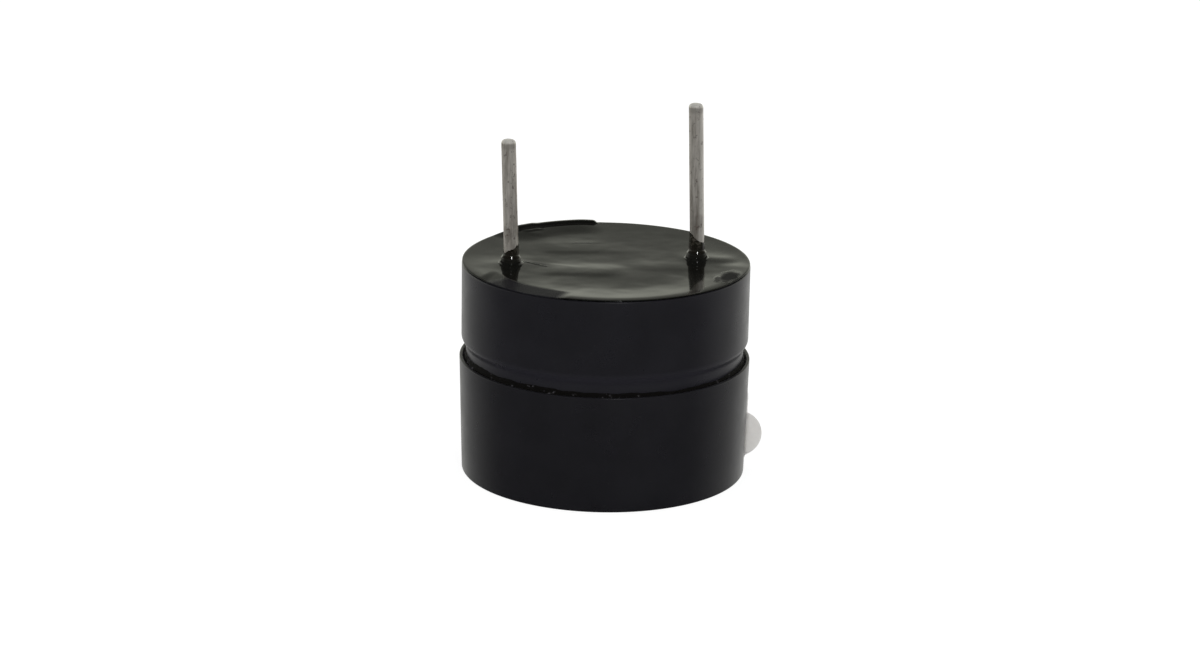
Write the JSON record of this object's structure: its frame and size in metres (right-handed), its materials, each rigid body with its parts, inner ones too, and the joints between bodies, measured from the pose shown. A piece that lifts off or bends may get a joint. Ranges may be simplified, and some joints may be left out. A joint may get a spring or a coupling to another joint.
{
  "type": "piezo buzzer",
  "caption": "Round black buzzer with a potted back, unequal wire terminals, a seam round the case and a film seal over its side sound port.",
  "frame": {"origin": "centre of the round sound face that the part rests on", "axes": "+Z from the sound face towards the pins; +X from the short negative pin to the long positive pin"},
  "size_m": [0.0126, 0.012, 0.0153],
  "materials": {
    "case_plastic": "satin moulded",
    "joint_adhesive": "cured glue",
    "potting_resin": "poured, glossy",
    "tinned_wire": "dull tin plate",
    "solder": "reflowed",
    "board_laminate": "phenolic laminate",
    "board_copper": "etched copper",
    "package_epoxy": "moulded epoxy",
    "resistor_body": "glazed",
    "ferrite": "sintered",
    "enamelled_wire": "enamelled",
    "brass_sheet": "rolled",
    "piezo_ceramic": "fired",
    "silver_film": "fired silver",
    "silicone": "cured silicone",
    "lead_red": "insulated wire",
    "lead_white": "insulated wire",
    "lead_black": "insulated wire",
    "seal_film": "satin film"
  },
  "bodies": {
    "root": {"front_cap": "case_plastic", "rear_case": "case_plastic", "joint_adhesive": "joint_adhesive", "potting_resin": "potting_resin", "positive_pin": "tinned_wire", "negative_pin": "tinned_wire", "circuit_board": "board_laminate", "board_copper": "board_copper", "positive_pin_solder": "solder", "negative_pin_solder": "solder", "driver_transistor": "package_epoxy", "transistor_legs": "tinned_wire", "base_resistor": "resistor_body", "base_resistor_ends": "solder", "feedback_resistor": "resistor_body", "feedback_resistor_ends": "solder", "boost_coil_core": "ferrite", "boost_coil_winding": "enamelled_wire", "piezo_plate": "brass_sheet", "piezo_ceramic": "piezo_ceramic", "main_electrode": "silver_film", "feedback_electrode": "silver_film", "diaphragm_adhesive": "silicone", "drive_lead": "lead_red", "feedback_lead": "lead_white", "ground_lead": "lead_black", "element_solder": "solder", "board_lead_solder": "solder", "wash_seal": "seal_film"}
  },
  "joints": []
}
